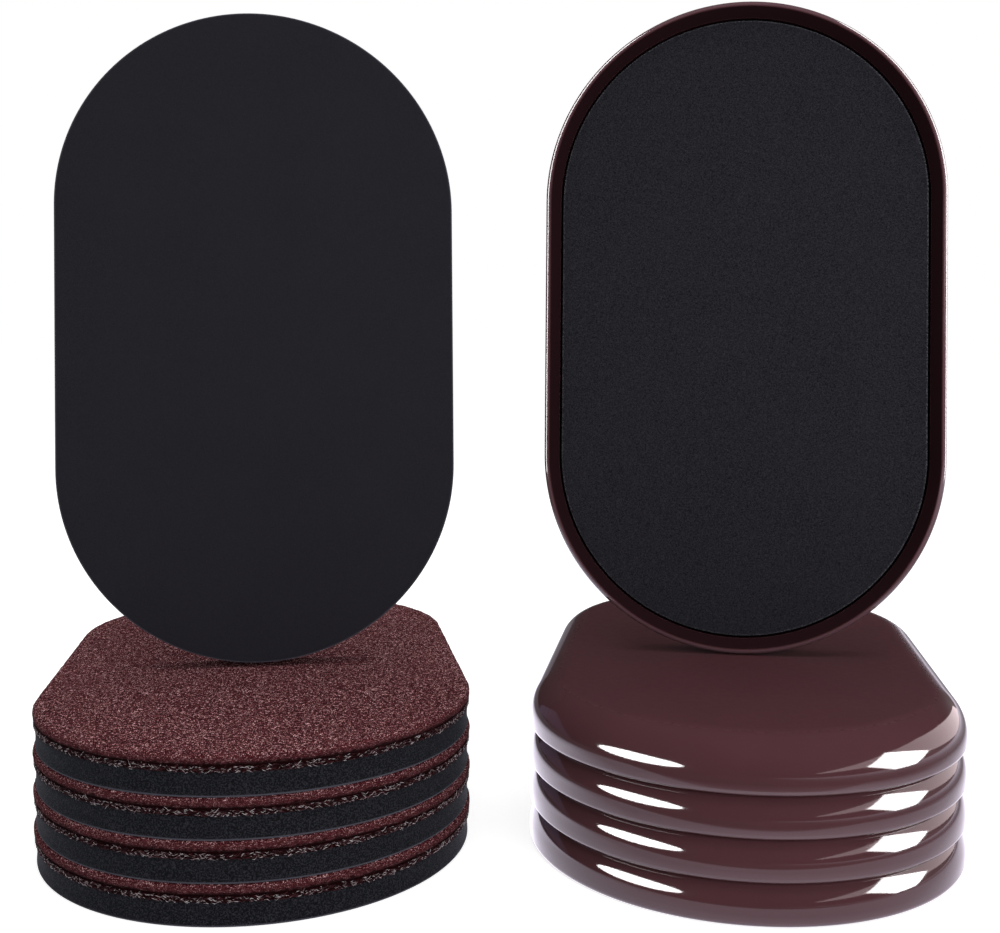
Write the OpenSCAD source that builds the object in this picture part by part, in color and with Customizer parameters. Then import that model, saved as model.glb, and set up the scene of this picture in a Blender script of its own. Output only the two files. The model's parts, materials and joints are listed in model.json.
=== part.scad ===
// Furniture slider set: two stacks of stadium-shaped sliders, felt ones for hard floors and
// moulded plastic ones for carpet, each with one slider stood on end on top of its stack.
// Millimetres, +Z up. The origin is on the floor, midway between the stacks, and -Y is the front.
// A slider is drawn lying flat: its furniture side is down at z = 0 and its glide side is up.

/* [Outline] */
// Length of every slider over its round ends
slider_length = 241.3; // [180:0.1:300]
// Width of every slider, and so the diameter of its round ends
slider_width = 146; // [100:0.1:160]

/* [Felt slider] */
// Thickness of the felt face
felt_thickness = 5; // [3.6:0.1:9]
// Radius of the roll round the felt's upper edge
felt_roll = 1.6; // [0.6:0.1:1.7]
// How far the felt's cut lower edge and the foam lie in from the roll
felt_tuck = 0.7; // [0.2:0.1:1.5]
// Thickness of the foam base
foam_thickness = 7.5; // [4:0.1:14]
// Rounding of the foam's floor edge and of the grip pad's open edge
foam_round = 0.8; // [0.2:0.1:1.8]

/* [Bond] */
// Thickness of the adhesive film under the felt and behind the grip pad
film_thickness = 0.2; // [0.1:0.05:0.6]
// How far the film stops short of the piece it holds
film_inset = 2; // [0.5:0.1:8]

/* [Plastic slider] */
// Height of the moulded shell from its rim to its glide face
shell_height = 16.6; // [14.5:0.1:22]
// Thickness of the shell's glide plate
shell_plate = 3; // [2:0.1:5]
// Radius of the shoulder between the glide face and the side
shell_shoulder = 13; // [5:0.1:13.5]
// Least thickness of the shell between the pad's pocket and the shoulder
shell_wall = 0.4; // [0.2:0.1:2]
// Radius of the rim's outer edge
rim_round = 1.8; // [0.4:0.1:2.2]
// Width of the flat land that the rim stands on
rim_land = 0.4; // [0.3:0.1:1.6]
// Width of the sloping lip between the rim and the pad
lip_run = 3.2; // [1.5:0.1:5]
// Depth of the pad's face below the rim
lip_depth = 3.8; // [1:0.1:5]
// Gap all round the pad in its pocket
pad_clearance = 0.3; // [0.1:0.05:0.8]

/* [Display] */
// Turn of each stack towards the viewer
fan_angle = 9; // [0:0.5:20]
// Gap between the stacks' front ends
front_gap = 21; // [4:0.5:60]
// How far in front of its stack's middle the upright slider stands
stand_forward = 12; // [-30:1:30]
// Backward lean of the upright slider
lean = 3; // [0:0.5:12]
// Gap under the upright slider, and between a shell's lip and the shoulder below it
seat_gap = 0.2; // [0.1:0.05:0.5]

/* [Hidden] */
$fn = 96;
STACKED = 4;
SLIDERS = STACKED + 1;
FELT_SIDE = -1;
PLASTIC_SIDE = 1;

half_width = slider_width / 2;
straight = slider_length - slider_width;
stack_x = half_width + straight / 2 * sin(fan_angle) + front_gap / 2;

felt_seat = foam_thickness + film_thickness;
felt_height = felt_seat + felt_thickness;
tucked_half_width = half_width - felt_tuck;

rim_width = rim_round + rim_land;
pocket_half_width = half_width - rim_width - lip_run;
pad_half_width = pocket_half_width - pad_clearance;
plate_underside = shell_height - shell_plate;
pad_back = plate_underside - film_thickness;

// A stacked shell drops over the one below until its pad lies on that glide face,
// or until its lip would come within the seat gap of that shoulder.
lip_slant = norm([lip_run, lip_depth]);
lip_stop = shell_shoulder
    + ((shell_shoulder - rim_width) * lip_depth - (shell_shoulder + seat_gap) * lip_slant) / lip_run;
nest_depth = max(0, min(lip_depth, lip_stop));
plastic_pitch = shell_height - nest_depth;

felt_stack_top = STACKED * felt_height;
plastic_stack_top = (STACKED - 1) * plastic_pitch + shell_height;

// Sweeps a half section, drawn from the centre line outwards, round the stadium outline.
module round_stadium() {
    for (turn = [0, 180])
        rotate([0, 0, turn])
            translate([0, straight / 2, 0])
                rotate_extrude(angle = 180) children();
    rotate([90, 0, 0])
        linear_extrude(height = straight, center = true) {
            children();
            mirror([1, 0]) children();
        }
}

// Flat half section with square edges.
module plain_section(half, bottom, top) {
    translate([0, bottom]) square([half, top - bottom]);
}

// Flat half section with its lower outer edge rounded.
module round_foot_section(half, bottom, top, radius) {
    plain_section(half, bottom + radius, top);
    plain_section(half - radius, bottom, top);
    translate([half - radius, bottom + radius]) circle(r = radius);
}

// The felt's half section: a full roll at the top over the cut lower edge.
module felt_section() {
    plain_section(tucked_half_width, felt_seat, felt_height - felt_roll);
    plain_section(half_width - felt_roll, felt_height - 2 * felt_roll, felt_height);
    translate([half_width - felt_roll, felt_height - felt_roll]) circle(r = felt_roll);
}

// The shell's outer half section: rim edge, side band, shoulder and glide face.
module shell_body_section() {
    round_foot_section(half_width, 0, shell_height - shell_shoulder, rim_round);
    plain_section(half_width - shell_shoulder, 0, shell_height);
    intersection() {
        translate([half_width - shell_shoulder, shell_height - shell_shoulder])
            circle(r = shell_shoulder);
        translate([half_width - shell_shoulder, shell_height - shell_shoulder])
            square(shell_shoulder);
    }
}

// Cuts a half section back to where it stays at least this far inside the shoulder.
module inside_shoulder(wall) {
    intersection() {
        children();
        union() {
            plain_section(half_width, 0, shell_height - shell_shoulder);
            plain_section(half_width - shell_shoulder, 0, shell_height);
            translate([half_width - shell_shoulder, shell_height - shell_shoulder])
                circle(r = shell_shoulder - wall);
        }
    }
}

// The shell's hollow in half section: the sloping lip, then the pad's pocket.
module shell_hollow_section() {
    inside_shoulder(shell_wall)
        polygon([
            [0, 0],
            [pocket_half_width + lip_run, 0],
            [pocket_half_width, lip_depth],
            [pocket_half_width, plate_underside],
            [0, plate_underside]
        ]);
}

module foam_base() {
    color([0.14, 0.13, 0.15])
        round_stadium() round_foot_section(tucked_half_width, 0, foam_thickness, foam_round);
}

module felt_bond() {
    color([0.80, 0.78, 0.70])
        round_stadium() plain_section(tucked_half_width - film_inset, foam_thickness, felt_seat);
}

module felt_face() {
    color([0.36, 0.22, 0.24]) round_stadium() felt_section();
}

module glide_shell() {
    color([0.27, 0.17, 0.18])
        round_stadium()
            difference() {
                shell_body_section();
                shell_hollow_section();
            }
}

module pad_bond() {
    color([0.80, 0.78, 0.70])
        round_stadium() plain_section(pad_half_width - film_inset, pad_back, plate_underside);
}

module grip_pad() {
    color([0.14, 0.13, 0.15])
        round_stadium()
            inside_shoulder(shell_wall + pad_clearance)
                round_foot_section(pad_half_width, lip_depth, pad_back, foam_round);
}

// How far an upright slider's lowest point lies below the middle of its furniture side.
function stand_drop(height, edge) =
    (slider_length / 2 - edge) * cos(lean) + (height - edge) * sin(lean) + edge;

module on_stack(side) {
    translate([side * stack_x, 0, 0]) rotate([0, 0, -side * fan_angle]) children();
}

module upright(top, height, edge) {
    translate([0, -stand_forward, top + seat_gap + stand_drop(height, edge)])
        rotate([-90 - lean, 0, 0]) children();
}

// Puts one felt slider's piece in its place: in the stack, or upright on it.
module felt_place(i) {
    on_stack(FELT_SIDE)
        if (i <= STACKED)
            translate([0, 0, (i - 1) * felt_height]) children();
        else
            upright(felt_stack_top, felt_height, felt_roll) children();
}

// Puts one plastic slider's piece in its place: in the stack, or upright on it.
module plastic_place(i) {
    on_stack(PLASTIC_SIDE)
        if (i <= STACKED)
            translate([0, 0, (i - 1) * plastic_pitch]) children();
        else
            upright(plastic_stack_top, shell_height, shell_shoulder) children();
}

for (i = [1 : SLIDERS]) {
    felt_place(i) foam_base();
    felt_place(i) felt_bond();
    felt_place(i) felt_face();
    plastic_place(i) glide_shell();
    plastic_place(i) pad_bond();
    plastic_place(i) grip_pad();
}
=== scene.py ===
"""Looks of a furniture slider set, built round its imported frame.

Felt sliders on the left, moulded plastic ones on the right: four of each stacked, one of each on end.
A slider is modelled lying flat, furniture side down at height 0, and then put where its CAD solids are.
"""

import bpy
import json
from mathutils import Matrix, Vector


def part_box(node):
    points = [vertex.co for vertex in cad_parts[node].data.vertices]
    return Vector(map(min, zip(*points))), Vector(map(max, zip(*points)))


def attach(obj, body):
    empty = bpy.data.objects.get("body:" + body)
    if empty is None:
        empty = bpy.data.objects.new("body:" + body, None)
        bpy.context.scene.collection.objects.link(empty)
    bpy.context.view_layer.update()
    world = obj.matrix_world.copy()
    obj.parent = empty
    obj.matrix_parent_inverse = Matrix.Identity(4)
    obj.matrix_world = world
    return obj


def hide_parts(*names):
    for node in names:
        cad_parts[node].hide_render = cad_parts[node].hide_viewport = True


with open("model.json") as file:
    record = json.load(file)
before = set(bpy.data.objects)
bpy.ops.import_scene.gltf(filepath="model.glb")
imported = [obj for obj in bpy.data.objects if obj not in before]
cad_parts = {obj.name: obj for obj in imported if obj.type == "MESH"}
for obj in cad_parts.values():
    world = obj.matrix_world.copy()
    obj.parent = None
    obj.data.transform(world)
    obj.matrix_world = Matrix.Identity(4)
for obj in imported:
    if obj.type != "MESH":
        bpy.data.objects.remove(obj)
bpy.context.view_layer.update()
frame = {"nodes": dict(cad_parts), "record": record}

import json
import math
import random

import bmesh
import bpy
from bpy.props import FloatProperty, FloatVectorProperty, IntProperty, PointerProperty
from mathutils import Euler, Matrix, Vector, noise

bl_info = {
    "name": "Furniture slider set",
    "version": (1, 0, 0),
    "blender": (4, 5, 0),
    "location": "View3D > Sidebar > Sliders",
    "description": "Models felt and plastic furniture sliders on their packed frame",
    "category": "Object",
}

# Numbers of each kind's sliders from the floor up, and of the one that stands on end
SLIDERS = range(1, 6)
UPRIGHT = 5
MM = 0.001
MERGE = 1e-6
UP = Vector((0, 0, 1))
UPRIGHT_SHELL = "Upright shell"
STACKED_SHELLS = "Stacked shells"
# Steps of an arc with a radius of 1 mm, and of the smallest arc
ARC_STEPS = 6
LEAST_ARC_STEPS = 4
# Where nearly all of a noise texture's values lie
NOISE_SPREAD = (0.3, 0.7)
# Grains across a metre
SLAB_GRAIN = 2200.0
PAD_GRAIN = 1900.0
FELT_GRAIN = 2900.0
FRINGE_GRAIN = 900.0
# Outlines of what the shells mirror: degrees right of the front, lowest and highest degrees up
RIGHT_WALL = ((26, 9, 10), (50, 12, 22), (75, 12, 30), (100, 6, 30), (120, 1, 22), (140, 1, 6))
LEFT_WINDOW = ((-148, 0, 6), (-134, 2, 20), (-122, 2, 15), (-108, 0, 3))
CARD_DISTANCE = 3.0
# Where the floor's zones that the shells mirror begin and end, in metres from the origin
FLOOR_BACK = (-0.22, -0.02)
FLOOR_NEAR = (0.12, 0.34)
FLOOR_FRONT = (-0.2, -0.19)
FLOOR_CLOSE = (0.26, 0.3)
FLOOR_RIGHT = (0.2, 0.9)
# Half the floor's width in metres
FLOOR_REACH = 40
# Where the background's strip that the shells mirror begins and ends, along a direction of length 1
STRIP_TOP = (0.12, 0.3)
STRIP_BEHIND = (-0.2, 0.1)
STRIP_RIGHT = (0.4, 0.6)
# The middle of the stacks, which the lamps face
LAMP_AIM = Vector((0, 0, 0.05))


# What the frame says

def mount(name):
    """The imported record's mount of that name."""
    return next(m for m in frame["record"]["mounts"] if m["name"] == name)


def turn_of(kind):
    """How far a stack of that kind is turned about the vertical, as its upright slider faces."""
    axis = mount(kind + "_slider_seat")["axis"]
    return math.atan2(axis[0], -axis[1])


def stadium_size(node, turn):
    """Width and straight run of a flat stadium node that is turned by that angle."""
    low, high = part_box(node)
    across, along = high.x - low.x, high.y - low.y
    straight = (along - across) / (math.cos(turn) - abs(math.sin(turn)))
    return across - straight * abs(math.sin(turn)), straight


def height_over(node, base):
    """Lowest and highest point of a node over the lowest point of its slider."""
    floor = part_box(base)[0].z
    low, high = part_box(node)
    return low.z - floor, high.z - floor


WIDTH, STRAIGHT = stadium_size("felt_face_1", turn_of("felt"))
FOAM_WIDTH = stadium_size("foam_base_1", turn_of("felt"))[0]
PAD_WIDTH = stadium_size("grip_pad_1", turn_of("plastic"))[0]
FOAM_TOP = height_over("foam_base_1", "foam_base_1")[1]
FELT_SEAT, FELT_TOP = height_over("felt_face_1", "foam_base_1")
SHELL_TOP = height_over("glide_shell_1", "glide_shell_1")[1]
PAD_FACE, PAD_BACK = height_over("grip_pad_1", "glide_shell_1")
PLATE_UNDERSIDE = height_over("pad_bond_1", "glide_shell_1")[1]


def paint(red, green, blue):
    """Linear colour of an 8-bit screen colour."""
    return tuple(
        c / 12.92 if c <= 0.04045 else ((c + 0.055) / 1.055) ** 2.4
        for c in (red / 255, green / 255, blue / 255)
    )


# What a user would change

def length(name, description, default):
    """A size in metres."""
    return FloatProperty(
        name=name, description=description, default=default, min=0, unit="LENGTH", precision=5,
    )


def colour(name, description, default):
    """A linear colour."""
    return FloatVectorProperty(
        name=name, description=description, default=default, size=3, min=0, max=1, subtype="COLOR",
    )


def level(name, description, default):
    """A light level, where 1 lights a colour about as it is written."""
    return FloatProperty(name=name, description=description, default=default, min=0)


class SliderSizes(bpy.types.PropertyGroup):
    """Sizes of the sliders' pieces."""

    width: length("Width", "Width of every slider", WIDTH)
    straight: length("Straight run", "Straight side between the round ends", STRAIGHT)
    foam_width: length("Foam width", "Width of the felt slider's foam", FOAM_WIDTH)
    foam_foot: length("Foam foot", "Rounding of the foam's furniture edge", 0.8 * MM)
    foam_lip: length("Foam lip", "Rounding of the foam's edge under the felt", 0.25 * MM)
    foam_waist: length("Foam waist", "How far the cut side of the foam is drawn in", 0.3 * MM)
    foam_bow: length("Foam bow", "Radius of the foam's drawn-in side", 20 * MM)
    border: length("Border", "Flat strip that is kept beside a rounded edge", 2 * MM)
    corner: length("Corner", "Rounding of the pad's and the pocket's hidden corners", 0.3 * MM)
    felt_cut: length("Felt cut", "Height of the felt's cut lower edge", 1.35 * MM)
    felt_crease: length("Felt crease", "Depth of the crease between the cut edge and the lip", 1.1 * MM)
    felt_lip: length("Felt lip", "Height of the felt's rolled lip", 2.4 * MM)
    felt_roll: length("Felt roll", "Rounding of the lip's upper edge", 1.3 * MM)
    felt_outset: length("Felt outset", "How far the felt's cut edge stands out over the foam", 0.2 * MM)
    felt_sag: length("Felt sag", "How far the felt's cut edge hangs below its seat", 0.1 * MM)
    felt_foot: length("Felt foot", "Rounding of the cut edge's lower corner", 0.2 * MM)
    felt_step: length("Felt step", "Rounding of the cut edge's upper corner", 0.4 * MM)
    felt_fold: length("Felt fold", "Rounding inside the crease", 0.5 * MM)
    felt_brow: length("Felt brow", "Rounding of the lip's lower edge", 0.9 * MM)
    felt_wander: length("Felt wander", "How far the felt's edge wanders", 0.16 * MM)
    felt_margin: length("Felt margin", "Width of the felt's edge that wanders", 4 * MM)
    felt_wave: length("Felt wave", "Length of the waves in the felt's edge", 4 * MM)
    felt_still: length("Felt still", "Height above the felt's seat where it starts to wander", 0.3 * MM)
    pad_width: length("Pad width", "Width of the grip pad", PAD_WIDTH)
    pad_round: length("Pad rounding", "Rounding of the grip pad's open edge", 0.8 * MM)
    pad_gap: length("Pad gap", "How far the cut pad is smaller than its CAD solid, all round", 0.5 * MM)
    shoulder: length("Shoulder", "Rounding between the glide face and the side", 13 * MM)
    rim_round: length("Rim rounding", "Rounding of the rim's outer edge", 1.8 * MM)
    rim_width: length("Rim width", "Width of the rim, its outer rounding included", 2.2 * MM)
    lip_run: length("Lip run", "Width of the sloping lip inside the rim", 3.2 * MM)
    lip_edge: length("Lip edge", "Rounding of the lip's two edges", 0.45 * MM)
    fibre_length: length("Fibre length", "Longest fibre at the felt's cut edge", 1.7 * MM)
    fibre_radius: length("Fibre radius", "Half thickness of a fibre", 0.065 * MM)
    fibres: IntProperty(
        name="Fibres", description="Fibres along each felt's cut edge", default=5200, min=0,
    )
    end_steps: IntProperty(
        name="End steps", description="Steps round each half-circle end", default=96, min=8,
    )


class SliderColours(bpy.types.PropertyGroup):
    """Colours of the sliders' materials."""

    foam: colour("Foam", "Closed-cell foam", paint(36, 35, 40))
    foam_cut: colour("Cut foam", "Closed-cell foam where it is cut", paint(25, 25, 29))
    # The grip pad's pale edge colour is a painted highlight along its rounded edge
    pad_edge_highlight: colour("Pad edge", "Foam along the grip pad's edge", paint(66, 65, 71))
    foam_sheen: colour("Foam sheen", "Sheen of the foam", paint(230, 242, 255))
    felt_dark: colour("Felt shade", "Felt between its fibres", paint(26, 4, 8))
    felt_mid: colour("Felt", "Felt as a whole", paint(102, 48, 53))
    felt_pale: colour("Felt fibre", "Felt's lightest fibres", paint(250, 208, 210))
    # Painted shade: the felt's colour in the crease and on the cut edge below it
    felt_crease: colour("Felt crease", "Felt inside the crease", paint(26, 8, 10))
    felt_sheen: colour("Felt sheen", "Sheen of the felt", paint(225, 150, 158))
    fringe_pale: colour("Fringe", "Pale cut ends of the felt's fibres", paint(222, 214, 218))
    shell: colour("Shell", "Moulded plastic", paint(76, 46, 50))
    # Painted shade: the plastic darker on the sloping lip of the hollow
    shell_hollow_shade: colour("Shell hollow", "Moulded plastic inside the hollow", paint(33, 18, 21))
    # Painted highlight: a lighter, greyer colour along the rim's outer rounding
    shell_rim_highlight: colour("Shell rim", "Moulded plastic along the rim", paint(96, 70, 76))
    film: colour("Film", "Adhesive film", (0.6, 0.57, 0.48))
    wall_tint: colour("Wall tint", "Wall as the shells mirror it", paint(255, 236, 240))
    window_tint: colour("Window tint", "Window as the shells mirror it", paint(215, 200, 240))
    floor_tint: colour("Floor tint", "Floor as the shells mirror it", paint(245, 238, 255))


class SliderStage(bpy.types.PropertyGroup):
    """Camera and light."""

    focal: length("Focal length", "Focal length of the camera, in metres", 45 * MM)
    distance: length("Distance", "Camera in front of the origin", 473.5 * MM)
    height: length("Height", "Camera above the floor", 165.5 * MM)
    tilt: FloatProperty(
        name="Tilt", description="How far the camera looks down", default=math.radians(2.5),
        subtype="ANGLE",
    )
    drop: FloatProperty(name="Shift", description="Vertical shift of the camera", default=-0.057)
    fill: level("Fill", "Even light from all round", 0.5)
    key: level("Key", "Large soft light from above", 1.5)
    front: level("Front", "Soft light from the front", 4.1)
    left_box: level("Left box", "Bright box that the shells mirror at the left", 34)
    right_box: level("Right box", "Bright box that the shells mirror at the right", 24)
    left_strip: level("Left strip", "Light that the upright shell's rim mirrors at the left", 20)
    right_strip: level("Right strip", "Light that the upright shell's rim mirrors at the right", 14)
    right_wall: level("Right wall", "Pale wall round the right box", 2.8)
    left_window: level("Left window", "Dim window that the shells mirror at the left", 0.3)
    ceiling: level("Ceiling", "What the shells mirror above", 0.03)
    horizon: level("Horizon", "What the shells mirror low down behind them at the right", 0.25)
    floor_glow: level("Floor glow", "How far the floor is lit up to white", 0.72)
    floor_right: level("Floor right", "What the shells mirror of the floor far to their right", 1.5)
    floor_front: level("Floor front", "What the shells mirror of the floor close in front of them", 1.2)
    floor_mirror: level("Floor mirror", "What the shells mirror of the floor beside them", 3)


# Mesh helpers

def fade(value, full, none):
    """1 from the full value on, 0 from the other one on, and even between them."""
    return max(0, min(1, (value - none) / (full - none)))


def rounded(corners):
    """Section points from (reach, height, rounding) corners, with each rounding as an arc."""
    points = []
    for i, (reach, height, rounding) in enumerate(corners):
        here = Vector((reach, height))
        if not rounding:
            points.append(here)
            continue
        before = (Vector(corners[i - 1][:2]) - here).normalized()
        after = (Vector(corners[i + 1][:2]) - here).normalized()
        half = before.angle(after) / 2
        centre = here + (before + after).normalized() * (rounding / math.sin(half))
        start = here + before * (rounding / math.tan(half)) - centre
        stop = here + after * (rounding / math.tan(half)) - centre
        steps = max(LEAST_ARC_STEPS, round(ARC_STEPS * math.sqrt(rounding / MM)))
        points += [centre + rounding * start.slerp(stop, step / steps) for step in range(steps + 1)]
    return points


def draw_out(bm, chain, run):
    """Extrudes a chain of edges along the slider by that run, and gives the new chain."""
    edges = [g for g in chain if isinstance(g, bmesh.types.BMEdge)]
    made = bmesh.ops.extrude_edge_only(bm, edges=edges)["geom"]
    verts = [g for g in made if isinstance(g, bmesh.types.BMVert)]
    bmesh.ops.translate(bm, verts=verts, vec=(0, run, 0))
    fresh = set(verts)
    lines = [g for g in made if isinstance(g, bmesh.types.BMEdge)]
    return verts + [line for line in lines if fresh.issuperset(line.verts)]


def sweep(section, marks, cuts=0):
    """A closed body: the section swept round the stadium, with its straight sides cut that often.

    marks holds functions by name, and each gives a section point's value from its reach and height.
    """
    sizes = bpy.context.scene.slider_sizes
    bm = bmesh.new()
    layers = {name: bm.verts.layers.float.new(name) for name in marks}
    verts = [bm.verts.new((reach, sizes.straight / 2, height)) for reach, height in section]
    for name, layer in layers.items():
        for vert in verts:
            vert[layer] = marks[name](vert.co.x, vert.co.z)
    chain = verts + [bm.edges.new(pair) for pair in zip(verts, verts[1:])]
    for end in (1, -1):
        middle = (0, end * sizes.straight / 2, 0)
        spun = bmesh.ops.spin(
            bm, geom=chain, cent=middle, axis=UP, angle=math.pi, steps=sizes.end_steps,
        )
        chain = spun["geom_last"]
        for _ in range(cuts + 1):
            chain = draw_out(bm, chain, -end * sizes.straight / (cuts + 1))
    bmesh.ops.remove_doubles(bm, verts=bm.verts, dist=MERGE)
    bmesh.ops.recalc_face_normals(bm, faces=bm.faces)
    return bm


def place_of(kind, number):
    """Where a slider lies: in its stack, or upright on its furniture face's mount."""
    base = "foam_base" if kind == "felt" else "glide_shell"
    if number != UPRIGHT:
        low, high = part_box(f"{base}_{number}")
        spot = Vector(((low.x + high.x) / 2, (low.y + high.y) / 2, low.z))
        return Matrix.Translation(spot) @ Matrix.Rotation(turn_of(kind), 4, "Z")
    seat = mount(kind + "_slider_seat")
    out = Vector(seat["axis"]).normalized()
    depth = 0 if kind == "felt" else PAD_FACE
    along = (UP - out * UP.dot(out)).normalized()
    columns = Matrix((along.cross(-out), along, -out)).transposed().to_4x4()
    return Matrix.Translation(Vector(seat["pos_m"]) + out * depth) @ columns


def shell_group(name):
    """The collection of that name, with shells that a lamp lights alone."""
    return bpy.data.collections.get(name) or bpy.data.collections.new(name)


def new_mesh(name, bm, material):
    """A mesh of that name and material from a bmesh, which is freed."""
    mesh = bpy.data.meshes.new(name)
    bm.to_mesh(mesh)
    bm.free()
    mesh.materials.append(material)
    return mesh


def add_object(name, data):
    """Adds an object of that name and data to the scene."""
    added = bpy.data.objects.new(name, data)
    bpy.context.scene.collection.objects.link(added)
    return added


def add_piece(bm, name, kind, number, material):
    """Makes a slider's bmesh a piece in its place, riding on its slider."""
    mesh = new_mesh(name, bm, material)
    mesh.transform(place_of(kind, number))
    mesh.shade_smooth()
    piece = add_object(name, mesh)
    # The shells don't mirror the felt sliders
    piece.visible_glossy = kind != "felt"
    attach(piece, f"{kind}_slider_{number}")
    return piece


# Material helpers

def feed(tree, node, inputs):
    """Sets a node's inputs, or links those that are given a socket."""
    for socket, value in inputs.items():
        if isinstance(value, bpy.types.NodeSocket):
            tree.links.new(value, node.inputs[socket])
        else:
            node.inputs[socket].default_value = value


def add_node(tree, kind, inputs=None, **settings):
    """Adds a shader node with those properties and inputs."""
    node = tree.nodes.new("ShaderNode" + kind)
    for name, value in settings.items():
        setattr(node, name, value)
    feed(tree, node, inputs or {})
    return node


def add_group(tree, group, point, scale):
    """Adds a node group at that point and scale."""
    return add_node(tree, "Group", {"Vector": point, "Scale": scale}, node_tree=group)


def mark(tree, name):
    """The value of that name that a piece's points carry."""
    return add_node(tree, "Attribute", attribute_name=name).outputs["Fac"]


def combine(tree, operation, first, second):
    """Two values joined by a maths operation."""
    return add_node(tree, "Math", {0: first, 1: second}, operation=operation).outputs[0]


def noise_at(tree, point, scale, detail):
    """A noise texture's value."""
    inputs = {"Vector": point, "Scale": scale, "Detail": detail}
    return add_node(tree, "TexNoise", inputs).outputs[0]


def mix_colours(tree, factor, first, second):
    """Mixes two colours, each a socket or a linear colour, by a factor socket."""
    first, second = (c if isinstance(c, bpy.types.NodeSocket) else (*c, 1) for c in (first, second))
    node = add_node(tree, "Mix", {0: factor, 6: first, 7: second}, data_type="RGBA")
    return node.outputs[2]


def stretch(tree, value, low, high, least=0.0, most=1.0):
    """Maps a value from low and high to least and most, and holds it between them."""
    inputs = {"Value": value, "From Min": low, "From Max": high, "To Min": least, "To Max": most}
    return add_node(tree, "MapRange", inputs).outputs[0]


def new_group(name, inputs, outputs):
    """An empty node group with those float inputs, besides a vector, and those float outputs."""
    tree = bpy.data.node_groups.new(name, "ShaderNodeTree")
    tree.interface.new_socket("Vector", in_out="INPUT", socket_type="NodeSocketVector")
    for socket in inputs:
        tree.interface.new_socket(socket, in_out="INPUT", socket_type="NodeSocketFloat")
    for socket in outputs:
        tree.interface.new_socket(socket, in_out="OUTPUT", socket_type="NodeSocketFloat")
    return tree, tree.nodes.new("NodeGroupInput"), tree.nodes.new("NodeGroupOutput")


def foam_grain_group():
    """Fine closed cells over soft patches: a speckle mask and a height."""
    known = bpy.data.node_groups.get("Foam grain")
    if known:
        return known
    tree, given, made = new_group("Foam grain", ["Scale"], ["Speckle", "Patches", "Height"])
    point = given.outputs["Vector"]
    cells = add_node(tree, "TexNoise", {
        "Vector": point, "Scale": given.outputs["Scale"], "Detail": 2.5, "Roughness": 0.6,
    }).outputs[0]
    feed(tree, made, {
        "Speckle": stretch(tree, cells, 0.3, 0.72),
        "Patches": stretch(tree, noise_at(tree, point, 42.0, 3.0), *NOISE_SPREAD),
        "Height": cells,
    })
    return tree


def fibre_mat_group():
    """Matted fibres lying in three directions, with the specks of fibre ends: masks and a height."""
    known = bpy.data.node_groups.get("Fibre mat")
    if known:
        return known
    tree, given, made = new_group("Fibre mat", ["Scale"], ["Fibres", "Specks", "Patches", "Height"])
    point, scale = given.outputs["Vector"], given.outputs["Scale"]
    layers = []
    for turn in (10, 70, 130):
        turned = add_node(tree, "Mapping", {
            "Vector": point, "Rotation": (0, 0, math.radians(turn)), "Scale": (0.35, 1, 1),
        })
        layer = add_node(tree, "TexNoise", {
            "Vector": turned.outputs[0], "Scale": scale, "Detail": 2.0, "Roughness": 0.6,
        })
        layers.append(layer.outputs[0])
    top = combine(tree, "MAXIMUM", combine(tree, "MAXIMUM", layers[0], layers[1]), layers[2])
    specks = noise_at(tree, point, combine(tree, "MULTIPLY", scale, 1.7), 1.0)
    feed(tree, made, {
        "Fibres": stretch(tree, top, 0.42, 0.74),
        "Specks": stretch(tree, specks, 0.36, 0.64),
        "Patches": stretch(tree, noise_at(tree, point, 60.0, 4.0), *NOISE_SPREAD),
        "Height": combine(tree, "ADD", top, specks),
    })
    return tree


def empty_tree(holder):
    """The emptied node tree of a material or a world."""
    holder.use_nodes = True
    holder.node_tree.nodes.clear()
    return holder.node_tree


def new_material(name):
    """A material with its tree, its Principled shader and the piece's own coordinates."""
    material = bpy.data.materials.new(name)
    tree = empty_tree(material)
    shader = add_node(tree, "BsdfPrincipled")
    add_node(tree, "OutputMaterial", {"Surface": shader.outputs[0]})
    return material, tree, shader, add_node(tree, "TexCoord").outputs["Object"]


def bump(tree, shader, height, strength, distance):
    """Puts a bump on the shader."""
    node = add_node(tree, "Bump", {"Height": height, "Strength": strength, "Distance": distance})
    feed(tree, shader, {"Normal": node.outputs[0]})


def lighter(colour, factor):
    """The colour times a factor."""
    return tuple(min(1, c * factor) for c in colour)


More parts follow.
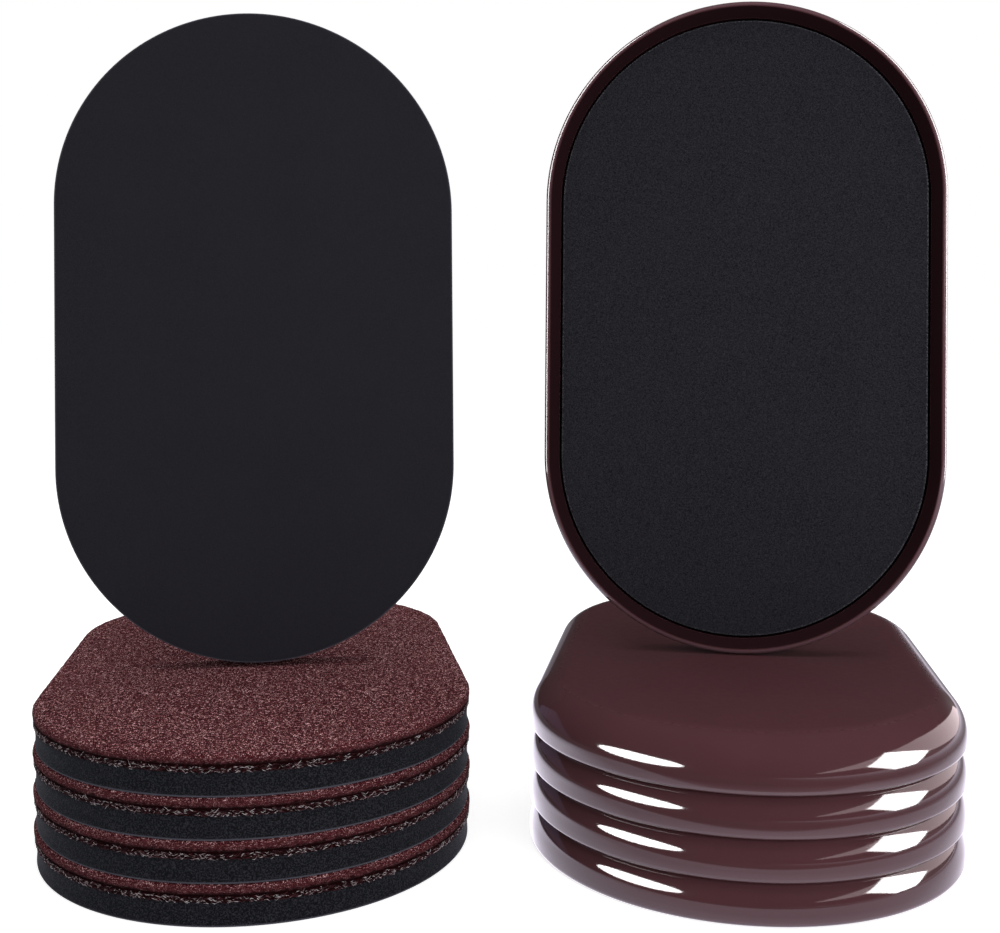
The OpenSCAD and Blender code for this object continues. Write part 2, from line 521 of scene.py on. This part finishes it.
def foam_material(name, cut_and_highlight_colour, scale, contrast, depth):
    """Closed-cell foam: dark, dull and finely speckled, with open cells where it is cut, a painted
    highlight along a grip pad's edge and one halfway up a slab's foot.
    """
    colours = bpy.context.scene.slider_colours
    foam = colours.foam
    material, tree, shader, point = new_material(name)
    grain = add_group(tree, foam_grain_group(), point, scale)
    cells = grain.outputs["Speckle"]
    base = mix_colours(tree, cells, lighter(foam, 1 - contrast), lighter(foam, 1 + contrast))
    patches = stretch(tree, grain.outputs["Patches"], 0, 1, 0, 0.12)
    base = mix_colours(tree, patches, base, lighter(foam, 1.5))
    # Where the foam is marked as cut, open cells; on a grip pad the pale edge colour makes this a
    # painted highlight
    open_cells = stretch(tree, cells, 0.4, 0.75)
    cut_cells_and_highlight = mix_colours(tree, open_cells, lighter(cut_and_highlight_colour, 0.6), lighter(cut_and_highlight_colour, 2.8))
    base = mix_colours(tree, mark(tree, "cut"), base, cut_cells_and_highlight)
    # Painted highlight: foam five times lighter halfway up a slab's furniture-side rounding
    base = mix_colours(tree, mark(tree, "foot"), base, lighter(foam, 5))
    feed(tree, shader, {
        "Base Color": base,
        "Roughness": stretch(tree, cells, 0, 1, 0.8, 0.62),
        "Specular IOR Level": 0.02,
        "Sheen Weight": 0.05,
        "Sheen Roughness": 0.5,
        "Sheen Tint": (*colours.foam_sheen, 1),
    })
    bump(tree, shader, grain.outputs["Height"], 0.5, depth)
    return material


def felt_material():
    """Needle felt: matted fibres, with painted shade darker over the lip and darkest in the crease and
    the cut edge.
    """
    colours = bpy.context.scene.slider_colours
    material, tree, shader, point = new_material("Needle felt")
    # The nap lies along the slider, so its grain is drawn out that way
    nap = add_node(tree, "Mapping", {"Vector": point, "Scale": (1, 0.35, 1)}).outputs[0]
    mat = add_group(tree, fibre_mat_group(), nap, FELT_GRAIN)
    fibres = mat.outputs["Fibres"]
    grain = combine(tree, "ADD", fibres, mat.outputs["Specks"])
    base = mix_colours(tree, stretch(tree, grain, 0.8, 1.15), colours.felt_dark, colours.felt_mid)
    base = mix_colours(tree, stretch(tree, grain, 1.38, 1.75), base, colours.felt_pale)
    patches = stretch(tree, mat.outputs["Patches"], 0, 1, 0, 0.1)
    base = mix_colours(tree, patches, base, colours.felt_mid)
    # Painted shade: the felt darker from below its top rounding down over the lip and the cut edge
    edge = stretch(tree, mark(tree, "edge"), 0, 1, 0, 0.6)
    base = mix_colours(tree, edge, base, lighter(colours.felt_mid, 0.42))
    # Painted shade in the crease and on the cut edge, with ragged borders
    clumps = stretch(tree, noise_at(tree, point, 650.0, 2.0), *NOISE_SPREAD, -0.35, 0.35)
    ragged_crease_shade = combine(tree, "ADD", mark(tree, "crease"), clumps)
    base = mix_colours(tree, stretch(tree, ragged_crease_shade, 0.25, 0.85), base, colours.felt_crease)
    feed(tree, shader, {
        "Base Color": base,
        "Roughness": stretch(tree, fibres, 0, 1, 1, 0.85),
        "Specular IOR Level": 0.02,
        "Sheen Weight": 0.02,
        "Sheen Roughness": 0.4,
        "Sheen Tint": (*colours.felt_sheen, 1),
    })
    bump(tree, shader, mat.outputs["Height"], 0.8, 0.3 * MM)
    return material


def fringe_material():
    """Cut fibre ends, from felt dark to pale by each fibre's own shade."""
    colours = bpy.context.scene.slider_colours
    material, tree, shader, point = new_material("Felt fringe")
    mat = add_group(tree, fibre_mat_group(), point, FRINGE_GRAIN)
    shade = mark(tree, "shade")
    middle = lighter(colours.felt_mid, 0.6)
    base = mix_colours(tree, stretch(tree, shade, 0.3, 0.65), colours.felt_dark, middle)
    base = mix_colours(tree, stretch(tree, shade, 0.7, 0.95), base, colours.fringe_pale)
    gaps = stretch(tree, mat.outputs["Fibres"], 0, 1, 0.3, 0)
    base = mix_colours(tree, gaps, base, colours.felt_dark)
    feed(tree, shader, {"Base Color": base, "Roughness": 0.7, "Specular IOR Level": 0.1})
    return material


def shell_material():
    """Glossy moulded plastic with the faint ripple of a moulding, dull on its glide face and inside,
    with painted shade inside the hollow and a painted highlight along the rim.
    """
    colours = bpy.context.scene.slider_colours
    material, tree, shader, point = new_material("Moulded plastic")
    ripple = noise_at(tree, point, 55.0, 2.0)
    haze = noise_at(tree, point, 380.0, 4.0)
    waves = stretch(tree, ripple, *NOISE_SPREAD)
    base = mix_colours(tree, waves, lighter(colours.shell, 0.96), lighter(colours.shell, 1.04))
    # Inside the hollow the plastic gets painted shade and no specular
    hollow = mark(tree, "hollow")
    base = mix_colours(tree, hollow, base, colours.shell_hollow_shade)
    # Painted highlight along the rim's outer rounding
    base = mix_colours(tree, mark(tree, "rim"), base, colours.shell_rim_highlight)
    glide = mark(tree, "glide")
    gloss = stretch(tree, haze, *NOISE_SPREAD, 0.05, 0.09)
    rubbed = stretch(tree, haze, *NOISE_SPREAD, 0.3, 0.36)
    dull = combine(tree, "MAXIMUM", stretch(tree, glide, 0, 1, 0, 0.84), hollow)
    feed(tree, shader, {
        "Base Color": base,
        "Roughness": add_node(tree, "Mix", {0: glide, 2: gloss, 3: rubbed}).outputs[0],
        "Specular IOR Level": stretch(tree, dull, 0, 1, 0.5, 0),
        "IOR": 1.49,
    })
    bump(tree, shader, ripple, 0.04, 0.3 * MM)
    return material


def film_material():
    """Pale adhesive film with a slight mottle."""
    film = bpy.context.scene.slider_colours.film
    material, tree, shader, point = new_material("Adhesive film")
    mottle = noise_at(tree, point, 150.0, 4.0)
    blotches = stretch(tree, mottle, *NOISE_SPREAD)
    feed(tree, shader, {
        "Base Color": mix_colours(tree, blotches, lighter(film, 0.85), lighter(film, 1.1)),
        "Roughness": stretch(tree, mottle, *NOISE_SPREAD, 0.35, 0.5),
    })
    return material


# Operators

class SLIDER_OT_shells(bpy.types.Operator):
    """Models the moulded shells of the plastic sliders"""

    bl_idname = "slider.shells"
    bl_label = "Moulded shells"

    # Where the rim's painted highlight starts to fade and where it ends, as shares of its rounding
    RIM_HIGHLIGHT_FADE = (0.8, 1.2)

    def execute(self, context):
        sizes = context.scene.slider_sizes
        half = sizes.width / 2
        mouth = half - sizes.rim_width
        pocket = mouth - sizes.lip_run
        flat = half - sizes.shoulder
        section = rounded([
            (0, PLATE_UNDERSIDE, 0),
            (pocket - sizes.border / 2, PLATE_UNDERSIDE, 0),
            (pocket, PLATE_UNDERSIDE, sizes.corner),
            (pocket, PAD_FACE, sizes.lip_edge),
            (mouth, 0, sizes.lip_edge),
            (half, 0, sizes.rim_round),
            (half, SHELL_TOP, sizes.shoulder),
            (flat - sizes.border / 2, SHELL_TOP, 0),
            (0, SHELL_TOP, 0),
        ])

        # Marks the hollow's lip for its painted shade and its dull finish
        def in_hollow_shade_and_dull(reach, height):
            if height > PAD_FACE:
                return float(reach < pocket + MERGE and height < PLATE_UNDERSIDE + MERGE)
            return fade(reach, mouth, mouth + sizes.lip_edge)

        def on_rim_painted_highlight(reach, height):
            if reach < half - sizes.rim_round:
                return 0
            return fade(height / sizes.rim_round, *self.RIM_HIGHLIGHT_FADE)

        def on_glide(reach, height):
            return fade(height, SHELL_TOP, SHELL_TOP - sizes.rim_width)

        material = shell_material()
        shell = sweep(section, {"hollow": in_hollow_shade_and_dull, "rim": on_rim_painted_highlight, "glide": on_glide})
        for number in SLIDERS:
            name = f"moulded_shell_{number}"
            piece = add_piece(shell.copy(), name, "plastic", number, material)
            group = UPRIGHT_SHELL if number == UPRIGHT else STACKED_SHELLS
            shell_group(group).objects.link(piece)
            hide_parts(f"glide_shell_{number}")
        return {"FINISHED"}


class SLIDER_OT_grip_pads(bpy.types.Operator):
    """Models the foam grip pads of the plastic sliders"""

    bl_idname = "slider.grip_pads"
    bl_label = "Grip pads"

    def execute(self, context):
        sizes = context.scene.slider_sizes
        half = sizes.pad_width / 2 - sizes.pad_gap
        section = rounded([
            (0, PAD_FACE, 0),
            (half - sizes.border, PAD_FACE, 0),
            (half, PAD_FACE, sizes.pad_round),
            (half, PAD_BACK, sizes.corner),
            (half - sizes.border, PAD_BACK, 0),
            (0, PAD_BACK, 0),
        ])
        # A pale colour on the pad's rounded edge: a painted highlight
        edge_highlight_colour = context.scene.slider_colours.pad_edge_highlight
        material = foam_material("Grip foam", edge_highlight_colour, PAD_GRAIN, contrast=0.65, depth=0.12 * MM)

        # Marks the pad's rounded edge for its painted highlight
        def painted_edge_light_and_shade(reach, height):
            return fade(reach, half, half - sizes.pad_round)

        pad = sweep(section, {"cut": painted_edge_light_and_shade})
        for number in SLIDERS:
            piece = add_piece(pad.copy(), f"grip_foam_{number}", "plastic", number, material)
            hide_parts(f"grip_pad_{number}")
        return {"FINISHED"}


class SLIDER_OT_foam_slabs(bpy.types.Operator):
    """Models the foam slabs of the felt sliders, with their cut sides drawn in"""

    bl_idname = "slider.foam_slabs"
    bl_label = "Foam slabs"

    def execute(self, context):
        sizes = context.scene.slider_sizes
        half = sizes.foam_width / 2
        section = rounded([
            (0, 0, 0),
            (half - sizes.border, 0, 0),
            (half, 0, sizes.foam_foot),
            (half - sizes.foam_waist, FOAM_TOP / 2, sizes.foam_bow),
            (half, FOAM_TOP, sizes.foam_lip),
            (half - sizes.border, FOAM_TOP, 0),
            (0, FOAM_TOP, 0),
        ])
        cut_and_highlight_colour = context.scene.slider_colours.foam_cut
        material = foam_material("Base foam", cut_and_highlight_colour, SLAB_GRAIN, contrast=0.18, depth=0.06 * MM)

        def on_side(reach, height):
            return float(reach > half - sizes.foam_foot and sizes.foam_foot / 2 < height < FOAM_TOP)

        # Marks the furniture-side rounding for its painted highlight
        def painted_foot_highlight(reach, height):
            if reach < half - sizes.foam_foot:
                return 0
            # The painted highlight is 1 halfway up the rounding, and 0 at its ends
            up = min(1, height / sizes.foam_foot)
            return 4 * up * (1 - up)

        slab = sweep(section, {"cut": on_side, "foot": painted_foot_highlight})
        for number in SLIDERS:
            piece = add_piece(slab.copy(), f"foam_slab_{number}", "felt", number, material)
            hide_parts(f"foam_base_{number}")
        return {"FINISHED"}


class SLIDER_OT_felts(bpy.types.Operator):
    """Models the felt faces, each with a rolled lip, a crease and a cut lower edge"""

    bl_idname = "slider.felts"
    bl_label = "Felt faces"

    SIDE_CUTS = 40
    # How far up the lip the crease's painted shade reaches, as a share of the lip
    SHADE_REACH = 0.75
    # How far apart in the noise two felts lie, so that their edges differ
    NOISE_SHIFT = 31
    # The noise's smoothness, its steps in scale and their number
    NOISE_SHAPE = (0.8, 2.0, 3)

    def execute(self, context):
        sizes = context.scene.slider_sizes
        half = sizes.width / 2
        cut_half = sizes.foam_width / 2 + sizes.felt_outset
        cut_top = FELT_SEAT + sizes.felt_cut
        lip_foot = FELT_TOP - sizes.felt_lip
        crease_height = (cut_top + lip_foot) / 2
        section = rounded([
            (0, FELT_SEAT, 0),
            (cut_half, FELT_SEAT - sizes.felt_sag, sizes.felt_foot),
            (cut_half, cut_top, sizes.felt_step),
            (half - sizes.felt_crease, crease_height, sizes.felt_fold),
            (half, lip_foot, sizes.felt_brow),
            (half, FELT_TOP, sizes.felt_roll),
            (half - 2 * sizes.felt_roll, FELT_TOP, 0),
            (0, FELT_TOP, 0),
        ])

        # Marks where the painted shade of the felt's side begins, below the top rounding
        def painted_edge_light_and_shade(reach, height):
            return fade(height, FELT_TOP - sizes.felt_roll, FELT_TOP)

        # Marks the crease and the cut edge below it for their painted shade
        def in_crease_painted_shade(reach, height):
            if reach < half - 2 * sizes.felt_crease:
                return 0
            return fade(height, crease_height, crease_height + sizes.felt_lip * self.SHADE_REACH)

        material = felt_material()
        felt = sweep(section, {"crease": in_crease_painted_shade, "edge": painted_edge_light_and_shade}, cuts=self.SIDE_CUTS)
        for number in SLIDERS:
            bm = felt.copy()
            self.wander(bm, sizes, number)
            piece = add_piece(bm, f"needle_felt_{number}", "felt", number, material)
            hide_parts(f"felt_face_{number}")
        return {"FINISHED"}

    def wander(self, bm, sizes, number):
        """Moves the edge of a felt in and out a little, along its normals."""
        margin = sizes.width / 2 - sizes.felt_margin
        foot = FELT_SEAT + sizes.felt_still
        bm.normal_update()
        for vert in bm.verts:
            along = max(0, abs(vert.co.y) - sizes.straight / 2)
            if math.hypot(vert.co.x, along) > margin and vert.co.z > foot:
                spot = vert.co / sizes.felt_wave + UP * self.NOISE_SHIFT * number
                vert.co += vert.normal * sizes.felt_wander * noise.fractal(spot, *self.NOISE_SHAPE)


class SLIDER_OT_fringes(bpy.types.Operator):
    """Models the loose fibre ends along the felts' cut lower edges"""

    bl_idname = "slider.fringes"
    bl_label = "Felt fringes"

    # Spread of the strands' heights over the cut edge, and of their lengths, as shares of the whole
    HEIGHTS = (-0.1, 1.2)
    LENGTHS = (0.3, 1)
    # How far the strands rise and stand out as they run along
    RISE = 0.4
    STAND_OUT = 0.15
    # How far their middles bow out and up
    BOW_OUT = (0.05 * MM, 0.3 * MM)
    BOW_UP = 0.15 * MM
    # Thickness in the middle, and how much of it is lost over a whole length
    MIDDLE = 1.2
    TAPER = 1.4

    def execute(self, context):
        sizes = context.scene.slider_sizes
        material = fringe_material()
        for number in SLIDERS:
            dice = random.Random(number)
            strands = self.strands(sizes, dice)
            holder = bpy.data.objects.new("Strands", strands)
            bm = bmesh.new()
            bm.from_mesh(holder.to_mesh())
            self.shade(bm, sizes, dice)
            bpy.data.objects.remove(holder)
            bpy.data.curves.remove(strands)
            add_piece(bm, f"felt_fringe_{number}", "felt", number, material)
        return {"FINISHED"}

    def strands(self, sizes, dice):
        """Short bent strands that lie along the cut edge, each turned its own way."""
        curve = bpy.data.curves.new("Strands", "CURVE")
        curve.dimensions = "3D"
        curve.bevel_depth = sizes.fibre_radius
        curve.bevel_resolution = 0
        curve.use_fill_caps = True
        reach = sizes.foam_width / 2 + sizes.felt_outset
        arc = math.pi * reach
        loop = 2 * (arc + sizes.straight)
        for _ in range(sizes.fibres):
            spot, out = self.on_outline(dice.uniform(0, loop), reach, arc, sizes.straight)
            spot += UP * (FELT_SEAT + sizes.felt_cut * dice.uniform(*self.HEIGHTS))
            along = out.cross(UP) + UP * dice.gauss(0, self.RISE) + out * dice.gauss(0, self.STAND_OUT)
            along *= sizes.fibre_length * dice.uniform(*self.LENGTHS)
            bow = out * dice.uniform(*self.BOW_OUT) + UP * dice.gauss(0, self.BOW_UP)
            strand = curve.splines.new("POLY")
            strand.points.add(2)
            for point, share in zip(strand.points, (-0.5, 0, 0.5)):
                point.co = (*(spot + along * share + bow * (1 - 2 * abs(share))), 1)
                point.radius = self.MIDDLE - self.TAPER * abs(share)
        return curve

    def shade(self, bm, sizes, dice):
        """Gives each strand a shade of its own."""
        layer = bm.verts.layers.float.new("shade")
        share = len(bm.verts) // sizes.fibres
        shades = [dice.random() for _ in range(sizes.fibres)]
        for vert in bm.verts:
            vert[layer] = shades[vert.index // share]

    def on_outline(self, run, reach, arc, straight):
        """The point and the outward direction at a run along the stadium outline of that reach."""
        for end in (1, -1):
            middle = Vector((0, end * straight / 2, 0))
            if run < arc:
                out = Vector((math.cos(run / reach), math.sin(run / reach), 0)) * end
                return middle + out * reach, out
            run -= arc
            if run < straight:
                out = Vector((-end, 0, 0))
                return middle + out * reach - Vector((0, end * run, 0)), out
            run -= straight
        raise ValueError("the run is longer than the outline")


class SLIDER_OT_films(bpy.types.Operator):
    """Gives the adhesive films their finish"""

    bl_idname = "slider.films"
    bl_label = "Adhesive films"

    def execute(self, context):
        material = film_material()
        for name in ("felt_bond", "pad_bond"):
            for number in SLIDERS:
                film = frame["nodes"][f"{name}_{number}"]
                film.data.materials.clear()
                film.data.materials.append(material)
                film.visible_glossy = name != "felt_bond"
        return {"FINISHED"}


class SLIDER_OT_stage(bpy.types.Operator):
    """Makes the camera, the floor, the background and the lights"""

    bl_idname = "slider.stage"
    bl_label = "Stage"

    def execute(self, context):
        scene = context.scene
        stage = scene.slider_stage
        scene.view_settings.view_transform = "Standard"
        self.camera(scene, stage)
        self.floor(scene, stage)
        self.background(scene, stage)
        # Each lamp's degrees right of the front and up, its distance and size in metres, and its level
        self.lamp("Key", 0, 90, 1.6, (2.0, 2.0), stage.key).visible_glossy = False
        self.lamp("Front", 30, 18, 0.8, (0.6, 0.3), stage.front).visible_glossy = False
        boxes = (
            self.lamp("Left box", -58, 11, 0.9, (0.82, 0.28), stage.left_box, shape="ELLIPSE"),
            self.lamp("Right box", 69, 9, 0.9, (0.38, 0.44), stage.right_box, roll=45),
        )
        strips = (
            self.lamp("Left strip", -80, 34, 0.9, (0.42, 1.4), stage.left_strip),
            self.lamp("Right strip", 86, 30, 0.9, (0.5, 1.2), stage.right_strip),
        )
        for lamps, lit in ((boxes, STACKED_SHELLS), (strips, UPRIGHT_SHELL)):
            for lamp in lamps:
                lamp.visible_diffuse = False
                lamp.light_linking.receiver_collection = shell_group(lit)
        self.card("Right wall", RIGHT_WALL, stage.right_wall, scene.slider_colours.wall_tint)
        self.card("Left window", LEFT_WINDOW, stage.left_window, scene.slider_colours.window_tint)
        return {"FINISHED"}

    def camera(self, scene, stage):
        """A camera in front of the stacks, looking a little down."""
        camera = add_object("Camera", bpy.data.cameras.new("Camera"))
        camera.data.sensor_width = 36
        camera.data.lens = stage.focal / MM
        camera.data.shift_y = stage.drop
        camera.data.clip_start = 0.01
        camera.location = (0, -stage.distance, stage.height)
        camera.rotation_euler = (math.radians(90) - stage.tilt, 0, 0)
        scene.camera = camera

    def floor(self, scene, stage):
        """A wide floor that the stacks stand on."""
        bm = bmesh.new()
        bmesh.ops.create_grid(bm, x_segments=1, y_segments=1, size=FLOOR_REACH)
        floor = add_object("Floor", new_mesh("Floor", bm, self.floor_material(scene, stage)))

    def floor_material(self, scene, stage):
        """Pale and lit up to white, and in the mirror bright near the stacks and far to their right."""
        material = bpy.data.materials.new("Floor")
        tree = empty_tree(material)
        path = add_node(tree, "LightPath")
        mirrored = self.mirror_rays(tree, path)
        spot = add_node(tree, "TexCoord").outputs["Object"]
        across, along, _ = add_node(tree, "SeparateXYZ", {0: spot}).outputs
        away = add_node(tree, "VectorMath", {0: spot}, operation="LENGTH").outputs["Value"]
        beside = stretch(tree, along, *FLOOR_BACK, 0, stage.floor_mirror)
        beside = combine(tree, "MULTIPLY", beside, stretch(tree, away, *FLOOR_NEAR, 1, 0.05))
        before = stretch(tree, along, *FLOOR_FRONT, 0, stage.floor_front)
        before = combine(tree, "MULTIPLY", before, stretch(tree, away, *FLOOR_CLOSE, 1, 0))
        right = stretch(tree, across, *FLOOR_RIGHT, 0, stage.floor_right)
        bright = combine(tree, "MAXIMUM", combine(tree, "MAXIMUM", beside, before), right)
        seen = combine(tree, "MULTIPLY", path.outputs["Is Camera Ray"], stage.floor_glow)
        glow = add_node(tree, "Mix", {0: mirrored, 2: seen, 3: bright})
        tint = mix_colours(tree, mirrored, (1, 1, 1), scene.slider_colours.floor_tint)
        pale = mix_colours(tree, mirrored, (0.6, 0.6, 0.6), (0.08, 0.08, 0.08))
        matte = add_node(tree, "BsdfDiffuse", {"Color": pale})
        light = add_node(tree, "Emission", {"Color": tint, "Strength": glow.outputs[0]})
        both = add_node(tree, "AddShader", {0: matte.outputs[0], 1: light.outputs[0]})
        add_node(tree, "OutputMaterial", {"Surface": both.outputs[0]})
        return material

    def mirror_rays(self, tree, path):
        """1 for glossy and transmission rays, 0 for the rest."""
        glossy, through = path.outputs["Is Glossy Ray"], path.outputs["Is Transmission Ray"]
        return combine(tree, "MAXIMUM", glossy, through)

    def background(self, scene, stage):
        """White behind the object, and dim in its mirror but for a low strip behind it at the right."""
        scene.world = bpy.data.worlds.new("Studio")
        tree = empty_tree(scene.world)
        path = add_node(tree, "LightPath")
        toward = add_node(tree, "TexCoord").outputs["Generated"]
        across, along, up = add_node(tree, "SeparateXYZ", {0: toward}).outputs
        low = stretch(tree, up, *STRIP_TOP, 1, 0)
        behind = stretch(tree, along, *STRIP_BEHIND)
        right = stretch(tree, across, *STRIP_RIGHT)
        strip = combine(tree, "MULTIPLY", low, combine(tree, "MULTIPLY", behind, right))
        mirrored = stretch(tree, strip, 0, 1, stage.ceiling, stage.horizon)
        rays = self.mirror_rays(tree, path)
        shade = add_node(tree, "Mix", {0: rays, 2: stage.fill, 3: mirrored}).outputs[0]
        shade = add_node(tree, "Mix", {0: path.outputs["Is Camera Ray"], 2: shade, 3: 1.0}).outputs[0]
        light = add_node(tree, "Background", {"Color": (1, 1, 1, 1), "Strength": shade})
        add_node(tree, "OutputWorld", {"Surface": light.outputs[0]})

    def way(self, azimuth, elevation):
        """The direction at degrees to the right of the front and above the floor."""
        return Euler((math.radians(90 - elevation), 0, math.radians(azimuth))).to_matrix() @ UP

    def card(self, name, columns, level, tint):
        """A glowing strip that only mirrors show, from columns of (azimuth, lowest, highest) degrees."""
        bm = bmesh.new()
        edges = [
            [bm.verts.new(self.way(azimuth, elevation) * CARD_DISTANCE) for elevation in heights]
            for azimuth, *heights in columns
        ]
        for (low, high), (next_low, next_high) in zip(edges, edges[1:]):
            bm.faces.new((low, next_low, next_high, high))
        material = bpy.data.materials.new(name)
        material.cycles.emission_sampling = "NONE"
        tree = empty_tree(material)
        glow = add_node(tree, "Emission", {"Color": (*tint, 1), "Strength": level})
        add_node(tree, "OutputMaterial", {"Surface": glow.outputs[0]})
        card = add_object(name, new_mesh(name, bm, material))
        card.visible_camera = False
        card.visible_diffuse = False
        card.visible_shadow = False

    def lamp(self, name, azimuth, elevation, distance, size, level, shape="RECTANGLE", roll=0):
        """A soft box that faces the stacks, at degrees to the right of the front and above the floor."""
        light = bpy.data.lights.new(name, "AREA")
        light.shape = shape
        light.size, light.size_y = size
        filled = math.pi / 4 if shape == "ELLIPSE" else 1
        light.energy = level * math.pi * size[0] * size[1] * filled
        holder = add_object(name, light)
        holder.location = LAMP_AIM + self.way(azimuth, elevation) * distance
        holder.rotation_euler = (math.radians(90 - elevation), 0, math.radians(azimuth))
        holder.rotation_euler.rotate_axis("Z", math.radians(roll))
        holder.visible_camera = False
        return holder


PIECES = (
    SLIDER_OT_stage, SLIDER_OT_shells, SLIDER_OT_grip_pads, SLIDER_OT_foam_slabs,
    SLIDER_OT_felts, SLIDER_OT_fringes, SLIDER_OT_films,
)


class SLIDER_PT_panel(bpy.types.Panel):
    """Lists the sliders' operators and values"""

    bl_idname = "SLIDER_PT_panel"
    bl_label = "Furniture sliders"
    bl_space_type = "VIEW_3D"
    bl_region_type = "UI"
    bl_category = "Sliders"

    def draw(self, context):
        for operator in PIECES:
            self.layout.operator(operator.bl_idname)
        for holder, group in GROUPS.items():
            box = self.layout.box()
            for name in group.__annotations__:
                box.prop(getattr(context.scene, holder), name)


GROUPS = {"slider_sizes": SliderSizes, "slider_colours": SliderColours, "slider_stage": SliderStage}
CLASSES = (*GROUPS.values(), *PIECES, SLIDER_PT_panel)


def register():
    """Registers the classes and gives every scene their values."""
    for cls in CLASSES:
        bpy.utils.register_class(cls)
    for name, group in GROUPS.items():
        setattr(bpy.types.Scene, name, PointerProperty(type=group))


def unregister():
    """Takes back what register did."""
    for name in GROUPS:
        delattr(bpy.types.Scene, name)
    for cls in reversed(CLASSES):
        bpy.utils.unregister_class(cls)


def main():
    """Makes the stage and every piece."""
    register()
    bpy.ops.slider.stage()
    bpy.ops.slider.shells()
    bpy.ops.slider.grip_pads()
    bpy.ops.slider.foam_slabs()
    bpy.ops.slider.felts()
    bpy.ops.slider.fringes()
    bpy.ops.slider.films()


if __name__ == "__main__":
    main()
